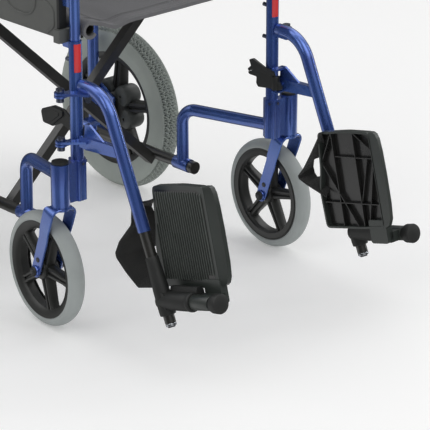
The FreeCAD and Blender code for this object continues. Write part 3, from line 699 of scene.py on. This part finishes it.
# outlines in (ahead, up)
PLATE = [(-28, 16), (60, 16), (114, 18), (114, 184), (57, 187), (-12, 185), (-20, 120),
         (-30, 84)]
TREAD_FIELD = [(-21, 28), (106, 26), (107.5, 168), (98, 179), (-8, 179), (-14, 124), (-22, 84)]
HINGE_ARM = [(76, -9), (116, -9), (116, 32), (76, 32)]
HINGE_KNUCKLE = [(76, -9), (116, -9), (116, 9), (76, 9)]
CLAMP_BLOCK = [(-4, -9), (14, -14), (14, 14), (-4, 18)]
# outline in (x, up)
REST_FLANGE = [(212, -8), (199, -4), (197.6, 5), (198.2, 16.6), (203, 21.5), (212, 22.5),
               (217, 13)]
# section in (x, ahead), and its stations of (up, share of its depth)
EDGE_BASE = 112
EDGE_SECTION = [(182, 112), (195.6, 112), (190, 133), (182, 134)]
EDGE_STATIONS = [(20, 0.35), (24, 0.62), (34, 0.86), (60, 1.0), (110, 1.04), (150, 1.0),
                 (172, 0.9), (181, 0.72), (184, 0.5)]
# underside ribs: ahead and up of one end, then of the other, and inboard x
UNDER_RIBS = [
    (14, 18, 18, 184, 184.4), (64, 18, 70, 186, 184.4), (-26, 62, 113, 58, 184.4),
    (20, 142, 112, 138, 184.4), (-17, 132, 50, 19, 184.4), (18, 183, -18, 128, 184.4),
    (108, 124, 76, 19, 184.4), (72, 182, 112, 150, 184.4), (66, 60, 96, 140, 186)]


def plate_shell(solid):
    """Face plate, the wall round its underside and the strip along its front edge."""
    outer = round_corners(PLATE, 9)
    inner = inset(outer, 3.6)
    solid.prism(outer, foot, 192.5, 195.6, "plate_plastic")
    # darker sheet on the inner face: painted shade under the plate
    solid.prism(inset(outer, 2.0), foot, 192.1, 192.6, "plate_painted_shade")
    n = len(outer)
    loops = [(182, outer), (193, outer), (193, inner), (182, inner)]
    verts = [foot(x, *p) for x, loop in loops for p in loop]
    faces = []
    for i in range(n):
        j = (i + 1) % n
        for a in range(4):
            b = (a + 1) % 4
            faces.append([a * n + i, a * n + j, b * n + j, b * n + i])
    solid.add(verts, faces, "plate_plastic")
    solid.rings([[foot(x, EDGE_BASE + (ahead - EDGE_BASE) * share, up)
                  for x, ahead in EDGE_SECTION] for up, share in EDGE_STATIONS],
                "plate_plastic")


def under_ribs(solid):
    half_width = 0.8
    for h0, v0, h1, v1, x in UNDER_RIBS:
        length = math.hypot(h1 - h0, v1 - v0)
        h = (v1 - v0) / length * half_width
        v = -(h1 - h0) / length * half_width
        outline = [(h0 + h, v0 + v), (h1 + h, v1 + v), (h1 - h, v1 - v), (h0 - h, v0 - v)]
        # in the darker plastic: painted shade under the plate
        solid.prism(outline, foot, x, 192.3, "plate_painted_shade")


def tread_ribs(solid):
    """Field painted dark as shade between the ribs on the outboard face, and the raised ribs
    over it, painted lighter as highlight.
    """
    # dark field under the ribs: painted shade between them
    solid.prism(round_corners(TREAD_FIELD, 4), foot, 195.5, 195.8, "plate_painted_shade")
    count, first, span = 22, -16.0, 120.0
    width = 1.05
    foot_x, base_x = 195.2, 195.5
    bottoms = {19: 38, 20: 38, 21: 38}  # ribs that start higher than the rest
    tops = {0: 122, 1: 150, 20: 173, 21: 173}  # ribs that stop lower
    for i in range(count):
        ahead = first + i * (span / (count - 1))
        bottom, top = bottoms.get(i, 28), tops.get(i, 176)
        rings = []
        for up, share in ((bottom, 0.3), (bottom + 2.5, 1.0), (top - 2.5, 1.0), (top, 0.3)):
            shoulder = base_x + 2.3 * share
            rings.append([
                foot(foot_x, ahead - width, up), foot(shoulder, ahead - width * 0.62, up),
                foot(base_x + 2.9 * share, ahead, up),
                foot(shoulder, ahead + width * 0.62, up), foot(foot_x, ahead + width, up)])
        # ribs in the lighter plastic: painted highlight
        solid.rings(rings, "plate_rib_painted_highlight")


def footplate(side):
    """Plate folded up on edge, tread facing outboard."""
    solid = Solid()
    plate_shell(solid)
    under_ribs(solid)
    tread_ribs(solid)
    solid.prism(round_corners(HINGE_ARM, 5), foot, 183, 197.4, "plate_plastic")
    solid.prism(HINGE_KNUCKLE, foot, 190, HINGE_X, "plate_plastic")
    disc(solid, foot(HINGE_X, 74.6, 0), foot(HINGE_X, 118, 0), 13.2, 12.6, "plate_plastic")
    solid.place("footplate", side, "black_plastic", "footplate", bevel=0.6)


# sleeve on the leg tube: distance up the leg, radius
CLAMP_SLEEVE = [(13, 11.0), (14, 13.4), (20, 13.9), (40, 13.9), (58, 13.6), (72, 13.0),
                (88, 12.2), (104, 11.3), (110, 11.1), (112, 10.2)]


def foot_clamp(side):
    solid = Solid()
    sweep(solid, [leg(up) for up, r in CLAMP_SLEEVE], [r for up, r in CLAMP_SLEEVE],
          "black_plastic", 32)
    # barrel and stop ring
    disc(solid, foot(HINGE_X, -8, 0), foot(HINGE_X, 72.5, 0), 15.2, 15.8, "black_plastic",
         seg=40)
    disc(solid, foot(HINGE_X, 66, 0), foot(HINGE_X, 74, 0), 16.4, 16.4, "black_plastic",
         seg=40)
    solid.prism(round_corners(CLAMP_BLOCK, 4), foot, 212, 234, "black_plastic")
    # rest flange that the plate comes down on
    solid.prism(round_corners(REST_FLANGE, 1.2, 3), foot_ahead, 10, 75.6, "black_plastic")
    solid.place("foot_clamp", side, "black_plastic", "leg_tube", bevel=0.5)


def foot_knob(side):
    solid = Solid()
    disc(solid, foot(HINGE_X, 72, 0), foot(HINGE_X, 126, 0), 9.0, 8.0, "black_plastic")
    disc(solid, foot(HINGE_X, 119, 0), foot(HINGE_X, 126, 0), 9.5, 14.0, "black_plastic")
    disc(solid, foot(HINGE_X, 123, 0), foot(HINGE_X, 141, 0), 16.0, 16.6, "black_plastic",
         seg=48, dome=1.2)
    solid.place("foot_knob", side, "black_plastic", "leg_tube")


# stations of (outboard y, z), (inboard y, z), from the top fixing round the fold to the
# lower fixing
HEEL_STATIONS = {
    "r": [((-346, 268), (-319, 255)), ((-320, 258), (-313, 247)), ((-298, 248), (-311, 240)),
          ((-297, 212), (-318, 232)), ((-266, 173), (-325, 208)), ((-256, 150), (-325, 183)),
          ((-258, 143), (-318, 172)), ((-282, 124), (-314, 168)), ((-312, 106), (-324, 160)),
          ((-350, 118), (-350, 128))],
    "l": [((-335, 243), (-345, 291)), ((-313, 231), (-320, 242)), ((-298, 223), (-306, 216)),
          ((-296, 208), (-292, 197)), ((-300, 197), (-294, 193)), ((-307, 191), (-311, 188)),
          ((-321, 197), (-330, 184)), ((-350, 206), (-360, 178))],
}


def heel_loop(side):
    """Webbing band with stitched hems along both edges."""
    stations = HEEL_STATIONS[side]
    outboard_x, inboard_x = 209.5, 178
    half_thick, camber = 1.3, 1.2
    steps, across_steps = 56, 10

    def edges(share):
        t = share * (len(stations) - 1)
        i = min(int(t), len(stations) - 2)
        f = t - i
        return [[a * (1 - f) + b * f for a, b in zip(stations[i][edge], stations[i + 1][edge])]
                for edge in (0, 1)]

    def band_point(share, f):
        """Point at a share of the length and a share f of the way inboard."""
        out, into = edges(share)
        return Vector((outboard_x + (inboard_x - outboard_x) * f,
                       out[0] * (1 - f) + into[0] * f, out[1] * (1 - f) + into[1] * f))

    rings = []
    for i in range(steps + 1):
        out2, in2 = edges(min(1, (i + 0.5) / steps))
        out1, in1 = edges(max(0, (i - 0.5) / steps))
        run = Vector((0, out2[0] + in2[0] - out1[0] - in1[0],
                      out2[1] + in2[1] - out1[1] - in1[1])).normalized()
        normal = Vector((0, -run.z, run.y))
        top, bottom = [], []
        for j in range(across_steps + 1):
            f = j / across_steps
            p = band_point(i / steps, f) + normal * (camber * math.sin(math.pi * f))
            top.append(p + normal * half_thick)
            bottom.append(p - normal * half_thick)
        rings.append(top + bottom[::-1])
    solid = Solid()
    solid.rings(rings, "black_webbing")
    for f in (0.06, 0.94):
        for i in range(2, steps * 2 - 1, 2):
            p = band_point(i / (2.0 * steps), f)
            q = band_point((i + 0.8) / (2.0 * steps), f)
            run = (q - p).normalized()
            lift = Vector((0, -run.z, run.y)) * 1.5
            sweep(solid, [p + lift, q + lift], 0.45, "thread", 6)
    solid.place("heel_loop", side, "black_webbing", "footplate", smooth=60)


def foot_tip(side):
    solid = Solid()
    disc(solid, leg(-5.5), leg(-0.2), 9.2, 9.3, "bright_steel", seg=36)
    disc(solid, leg(-7.5), leg(-5.0), 6.4, 6.6, "black_plastic", seg=28)
    disc(solid, leg(-0.2), leg(11), 6.85, 6.85, "black_plastic", seg=28)
    solid.place("foot_tip", side, "bright_steel", "leg_tube")


# layers of the lever: corner radius, corner steps, inboard x, outboard x, (y, z) outline
LATCH_LAYERS = {
    "l": [
        (2.5, 4, 203.4, 208,
         [(-140, 367), (-149, 371), (-167, 365), (-179, 361), (-205, 359), (-211, 344),
          (-222, 333), (-216, 328), (-190, 326), (-163, 322), (-158, 328), (-159, 340),
          (-140, 340), (-137, 344), (-148, 349)]),
        (2, 3, 201.6, 204,
         [(-142, 368), (-150, 371), (-176, 363), (-205, 359), (-208, 350), (-176, 352),
          (-149, 350), (-141, 346), (-138, 350), (-147, 358)]),
        (2, 3, 207.5, 211, [(-216, 332), (-163, 326), (-160, 340), (-200, 345), (-211, 342)]),
    ],
    "r": [
        (3.0, 4, 203.4, 208,
         [(-214, 331), (-211, 346), (-190, 352), (-152, 352), (-127, 368), (-101, 369),
          (-68, 355), (-73, 332), (-97, 331), (-120, 342), (-150, 332), (-190, 327)]),
        (3.5, 4, 200.5, 211,
         [(-126, 366), (-101, 367), (-70, 354), (-75, 334), (-96, 333), (-127, 357)]),
        (3, 3, 199.6, 212,
         [(-118, 360), (-101, 362), (-78, 352), (-81, 340), (-95, 339), (-117, 355)]),
    ],
}


def latch_lever(side):
    solid = Solid()
    for radius, steps, start, end, outline in LATCH_LAYERS[side]:
        solid.prism(round_corners(outline, radius, steps), along_x, start, end,
                    "black_plastic")
    disc(solid, (206, -205, 326.5), (206, -205, 351.5), 7.2, 7.0, "black_plastic")
    solid.place("latch_lever", side, "black_plastic", "latch", bevel=0.9)


# ------------------------------------------------------------------ soft goods
def cloth(solid, surface_point, nu, nv):
    """Closed shell; surface_point(u, v) gives the outer and the inner point."""
    rings = []
    for i in range(nu + 1):
        outer, inner = zip(*[surface_point(i / nu, j / nv) for j in range(nv + 1)])
        rings.append(outer + inner[::-1])
    solid.rings(rings, "seat_cloth")


def stitch(solid, points):
    """A row of thread, one stitch to each pair of points."""
    for a, b in zip(points[::2], points[1::2]):
        sweep(solid, [a, b], 0.55, "thread", 6)


def seat(side):
    """Half of the sling, from the middle of the chair (u = 0) out and round the rail."""
    front, rear = -190.0, 225.0
    length = rear - front
    rail_x, rail_z, wrap = 200.0, 520.0, 12.0
    flat, flat_width = 0.66, 198.0  # share of u up to the wrap, and its width
    sag, hem = 13.5, 26

    def section(u):
        """x, z and the normal's x and z."""
        if u < flat:
            x = flat_width * u / flat
            return x, rail_z + wrap - sag * (1 - (x / flat_width) ** 3.0), 0.0, 1.0
        angle = math.radians(90 - 235 * (u - flat) / (1 - flat))
        cos, sin = math.cos(angle), math.sin(angle)
        return rail_x + wrap * cos - 0.5, rail_z + wrap * sin, cos, sin

    def point(u, v):
        x, z, nx, nz = section(u)
        y = front + length * v
        to_front, to_rear = v * length, (1 - v) * length
        thick = 1.6 + 1.6 * (falloff(to_front, 7.0) + falloff(to_rear, 7.0))
        # front edge turned down, and two broad hollows
        z -= 2.0 * falloff(to_front, 4.0)
        z -= 9.0 * falloff(abs(x) - 146, 24.0) * falloff(to_front, 70.0)
        z -= 3.0 * falloff(abs(x) - 90, 40.0) * falloff(to_front - 200, 120.0)
        inner = 0.6
        if u < flat:
            inner = 1.0
            # slow ripple, and a shallow dip at each hem seam
            z += (0.9 * math.sin(v * 17 + u * 5) * math.sin(u * 9 + 1.3)
                  * (1 - min(1, u * 1.3)))
            z -= 0.9 * falloff(to_front - hem, 2.2)
            z -= 0.9 * falloff(to_rear - hem, 2.2)
        return (Vector((x + nx * thick, y, z + nz * thick)),
                Vector((x - nx * thick * inner, y, z - nz * thick * inner)))

    solid = Solid()
    cloth(solid, point, 44, 160)
    # two rows at the front hem, one at the rear, and one beside the rail
    lift = Vector((0, 0, 0.2))
    for v in (24.5 / length, 29.5 / length, 1 - hem / length):
        stitch(solid, [point(0.01 + 0.62 * i / 96, v)[0] + lift for i in range(96)])
    stitch(solid, [point(0.575, 0.02 + 0.96 * i / 180)[0] + lift for i in range(181)])
    item = solid.build("seat_vis_" + side, side, smooth=60)
    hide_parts("seat_half_" + side)
    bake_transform(item)


def back(side):
    """Half of the back cloth, from the middle of the chair (u = 0) out and round the post."""
    bottom, top = 545.0, 872.0
    height = top - bottom
    post_y, wrap = 306.0, 12.4
    flat, flat_width = 0.68, 221.0  # share of u up to the wrap, and its width
    edge_y, belly, hem = 296.0, 18.0, 28

    def section(u):
        """x, y and the normal's x and y."""
        if u < flat:
            x = flat_width * u / flat
            return x, edge_y + belly * (1 - (x / flat_width) ** 2), 0.0, -1.0
        share = (u - flat) / (1 - flat)
        angle = math.radians(-90 + 240 * share)
        cos, sin = math.cos(angle), math.sin(angle)
        return POST_X + wrap * cos - 1.0 * (1 - share), post_y + wrap * sin, cos, sin

    def point(u, v):
        x, y, nx, ny = section(u)
        z = bottom + height * v
        to_bottom, to_top = v * height, (1 - v) * height
        thick = 1.7 + 1.4 * (falloff(to_bottom, 7.0) + falloff(to_top, 7.0))
        inner = 0.6
        if u < flat:
            inner = 1.0
            # dips at the hem seams and a slow ripple
            y += 0.9 * falloff(to_bottom - hem, 2.2) + 0.9 * falloff(to_top - hem, 2.2)
            y += math.sin(v * 9 + 1) * math.sin(u * 8 + 0.4) * (1 - u)
        return (Vector((x + nx * thick, y + ny * thick, z)),
                Vector((x - nx * thick * inner, y - ny * thick * inner, z)))

    solid = Solid()
    cloth(solid, point, 46, 130)
    # two rows at each hem and one beside the post
    lift = Vector((0, -0.2, 0))
    for v in (26.0 / height, 31.0 / height, 1 - 26.0 / height, 1 - 31.0 / height):
        stitch(solid, [point(0.01 + 0.64 * i / 100, v)[0] + lift for i in range(101)])
    stitch(solid, [point(0.60, 0.03 + 0.94 * i / 150)[0] + lift for i in range(151)])
    item = solid.build("back_vis_" + side, side, smooth=60)
    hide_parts("back_half_" + side)
    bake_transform(item)


# ------------------------------------------------------------------ arms, grips and strips
# share of the pad's length, fullness of its section
PAD_STATIONS = [(0, 0.55), (0.006, 0.78), (0.02, 0.93), (0.05, 1), (0.3, 1.0), (0.5, 1.0),
                (0.7, 1.0), (0.95, 1), (0.98, 0.93), (0.994, 0.78), (1, 0.55)]


def arm_pad(side):
    front, rear = -132.0, 212.0
    middle, half_width = 224.0, 27.0
    bottom, top = 719.2, 740.0
    seg, squareness = 28, 0.42
    section = []
    for k in range(seg):
        angle = 2 * math.pi * k / seg
        cos, sin = math.cos(angle), math.sin(angle)
        section.append((math.copysign(abs(cos) ** squareness, cos) * half_width,
                        math.copysign(abs(sin) ** squareness, sin)))
    rings = []
    for share, full in PAD_STATIONS:
        ring = []
        for x, z_share in section:
            z = (bottom + top) / 2 + z_share * (top - bottom) / 2 * (0.75 + 0.25 * full)
            if z_share > 0:
                z -= 1.0 * (x / half_width) ** 2  # crowned top
            ring.append((middle + x * (0.8 + 0.2 * full), front + (rear - front) * share, z))
        rings.append(ring)
    solid = Solid()
    solid.rings(rings, "pad_black")
    # piping round the lower edge
    left, right = middle - half_width, middle + half_width
    path = round_corners([(left, front), (right, front), (right, rear), (left, rear)], 12, 6)
    sweep(solid, [(x, y, bottom + 4) for x, y in path + path[:1]], 1.3, "pad_black", 8)
    solid.place("arm_pad", side, "pad_black", "arm", smooth=50)


# (y, z) outlines
PANEL = [(-152, 506), (226, 504), (226, 690), (206, 697), (-120, 697), (-152, 660)]
PANEL_FLANGE = [(-158, 520), (-152, 508), (-152, 668), (-158, 652)]
PANEL_OVAL = [(-95, 527), (-16, 527), (-16, 660), (-95, 660)]
# (x, y) outline
PANEL_BLOCK = [(213, -165), (246, -165), (246, -150), (241, -150), (238, -158.3),
               (213, -158.3)]
# open bead lines: (y, z) points, then the bend radii at the inner ones
PANEL_BEADS = [
    ([(-106, 668), (-106, 568), (-141, 551), (-142, 522), (-124, 508)], [22, 12, 14]),
    ([(8, 512), (20, 560), (20, 676)], [60]),
    ([(40, 512), (56, 560), (160, 560), (196, 514)], [24, 30]),
]


def side_panel(side):
    bead_x, bead_radius = 236.4, 2.4
    solid = Solid()
    outline = round_corners(PANEL, 14, 6)
    solid.prism(outline, along_x, 233.6, 236.6, "panel_grey")
    # rolled rim
    bead_loop(solid, 235.4, outline, 2.2, "panel_grey", 10)
    # flange up the front edge, black as painted shade on its front face, which faces away from
    # the light, and the block low at the front
    solid.prism(round_corners(PANEL_FLANGE, 2, 3), along_x, 223.5, 239.0, "black_plastic")
    solid.prism(round_corners(PANEL_BLOCK, 1.5, 3), along_z, 499.0, 521, "panel_grey")
    # moulded bead lines
    bead_loop(solid, bead_x, round_corners(PANEL_OVAL, 34, 10), bead_radius, "panel_grey", 10)
    for points, bends in PANEL_BEADS:
        path = arc_path([(bead_x, y, z) for y, z in points], bends)
        sweep(solid, path, bead_radius, "panel_grey", 10)
    solid.place("side_panel", side, "panel_grey", "arm", bevel=0.6, smooth=40)


def push_grip(side):
    """Ribbed grip running back from its front collar."""
    front, height, seg = 385, 912, 36
    profile = [(0, 11.3), (0, 15.5), (1.5, 17.0), (6, 17.0), (8, 16.0)]  # y, radius
    for y in range(10, 104, 6):
        profile += [(y, 15.4), (y + 1.2, 16.4), (y + 3.0, 16.4), (y + 4.2, 15.4)]
    profile += [(108, 16.0), (111, 17.0), (116, 17.0), (119, 15.0), (120, 11), (120, 2)]
    angles = [2 * math.pi * j / seg for j in range(seg)]
    solid = Solid()
    solid.rings([[(POST_X + r * math.cos(a), front + y, height + r * math.sin(a))
                  for a in angles] for y, r in profile], "grip_rubber")
    solid.place("push_grip", side, "grip_rubber", "frame", smooth=50)


def post_strip(side):
    """Red film round part of the front post."""
    post_y, steps = -178, 14
    start, end = (222, 287) if side == "l" else (258, 321)  # degrees round the post
    section = [(11.06, 452), (11.42, 452), (11.5, 452.6), (11.5, 499.4), (11.42, 500),
               (11.06, 500)]  # radius, z
    rings = []
    for k in range(steps + 1):
        angle = math.radians(start + (end - start) * k / steps)
        cos, sin = math.cos(angle), math.sin(angle)
        rings.append([(POST_X + r * cos, post_y + r * sin, z) for r, z in section])
    solid = Solid()
    solid.rings(rings, "red_film")
    solid.place("post_strip", side, "red_film", "frame", smooth=30)


# ------------------------------------------------------------------ stage, light and camera
def build_floor():
    half = 40.0
    mesh = bpy.data.meshes.new("floor")
    corners = ((-half, -half), (half, -half), (half, half), (-half, half))
    mesh.from_pydata([(x, y, -0.0002) for x, y in corners], [], [[0, 1, 2, 3]])
    floor = link_object("floor", mesh)
    material, tree, shader = new_material("floor_paper")
    set_inputs(shader, {
        "Base Color": (0.90, 0.90, 0.90, 1), "Emission Color": (1.0, 1.0, 0.99, 1),
        "Emission Strength": 0.17, "Roughness": 0.75, "Specular IOR Level": 0.15})
    noise = add_node(tree, "ShaderNodeTexNoise", {"Scale": 300.0})
    bump = add_node(tree, "ShaderNodeBump", {"Strength": 0.03, "Distance": 0.0005})
    tree.links.new(noise.outputs["Fac"], bump.inputs["Height"])
    tree.links.new(bump.outputs[0], shader.inputs["Normal"])
    mesh.materials.append(material)
    floor.visible_glossy = False


def aim(item, direction):
    item.rotation_euler = Vector(direction).to_track_quat("-Z", "Y").to_euler()


def area_light(name, location, target, width, height, power):
    light = bpy.data.lights.new(name, "AREA")
    light.shape = "RECTANGLE"
    light.size = width
    light.size_y = height
    light.energy = power
    item = bpy.data.objects.new(name, light)
    item.location = location
    aim(item, Vector(target) - Vector(location))
    bpy.context.scene.collection.objects.link(item)


def build_lights():
    area_light("key", location=(0.6, -3.0, 3.4), target=(0, -0.1, 0.3),
               width=3.0, height=3.0, power=24)
    area_light("top", location=(0.3, 0.6, 3.8), target=(0, 0, 0.3),
               width=4.5, height=4.5, power=18)
    area_light("left", location=(-3.4, -0.4, 2.4), target=(0, 0, 0.3),
               width=1.2, height=2.2, power=12)
    area_light("strip", location=(3.0, -1.6, 1.5), target=(0, -0.2, 0.25),
               width=0.3, height=2.4, power=14)


# grey of the mirrored room from straight down (0) to straight up (1)
ROOM_GREYS = [(0.0, 0.34), (0.30, 0.42), (0.44, 0.20), (0.50, 0.10), (0.60, 0.14),
              (0.70, 0.34), (0.80, 0.85), (1.0, 1.0)]


def build_world():
    """Even white light, but glossy rays see a banded room broken into broad panels."""
    world = bpy.data.worlds.new("studio")
    bpy.context.scene.world = world
    world.use_nodes = True
    tree = world.node_tree
    link = tree.links.new
    plain = tree.nodes["Background"]
    set_inputs(plain, {0: (1.0, 1.0, 1.0, 1), 1: 0.64})
    coords = add_node(tree, "ShaderNodeTexCoord")
    axes = add_node(tree, "ShaderNodeSeparateXYZ")
    link(coords.outputs["Generated"], axes.inputs[0])
    height = add_node(tree, "ShaderNodeMapRange", {"From Min": -1.0, "From Max": 1.0})
    link(axes.outputs["Z"], height.inputs["Value"])
    greys = add_node(tree, "ShaderNodeValToRGB")
    elements = greys.color_ramp.elements
    while len(elements) < len(ROOM_GREYS):
        elements.new(0.5)
    for element, (position, grey) in zip(elements, ROOM_GREYS):
        element.position = position
        element.color = (grey, grey, grey, 1)
    link(height.outputs[0], greys.inputs["Fac"])
    # three bright panels round the room: sine of 3 x bearing + 0.9
    bearing = add_node(tree, "ShaderNodeMath", operation="ARCTAN2")
    link(axes.outputs["Y"], bearing.inputs[0])
    link(axes.outputs["X"], bearing.inputs[1])
    phase = add_node(tree, "ShaderNodeMath", {1: 3.0, 2: 0.9}, operation="MULTIPLY_ADD")
    link(bearing.outputs[0], phase.inputs[0])
    sine = add_node(tree, "ShaderNodeMath", operation="SINE")
    link(phase.outputs[0], sine.inputs[0])
    panels = add_node(tree, "ShaderNodeMapRange", {
        "From Min": -0.4, "From Max": 0.6, "To Min": 0.45, "To Max": 1.8})
    link(sine.outputs[0], panels.inputs["Value"])
    room = add_node(tree, "ShaderNodeBackground")
    link(greys.outputs["Color"], room.inputs[0])
    link(panels.outputs[0], room.inputs[1])
    ray = add_node(tree, "ShaderNodeLightPath")
    mix = add_node(tree, "ShaderNodeMixShader")
    link(ray.outputs["Is Glossy Ray"], mix.inputs[0])
    link(plain.outputs[0], mix.inputs[1])
    link(room.outputs[0], mix.inputs[2])
    link(mix.outputs[0], tree.nodes["World Output"].inputs["Surface"])


def build_camera():
    camera = bpy.data.cameras.new("camera")
    camera.sensor_width = 36.0
    camera.lens = 230.4
    camera.clip_end = 60
    item = link_object("camera", camera)
    item.location = (-2.9548, -3.4627 + Y_SHIFT / 1000.0, 1.8743)
    aim(item, (0.63244369, 0.68293652, -0.3655307))
    bpy.context.scene.camera = item


PIECES = (rear_rim, rear_tyre, caster_rim, caster_tyre, caster_fork, caster_axle, footplate,
          foot_clamp, foot_knob, heel_loop, latch_lever, foot_tip, seat, back, arm_pad,
          side_panel, push_grip, post_strip)

finish_cad()
for side in ("r", "l"):
    for build_piece in PIECES:
        build_piece(side)
soften_cad()
build_floor()
build_lights()
build_world()
build_camera()
bpy.context.scene.view_settings.view_transform = "Standard"
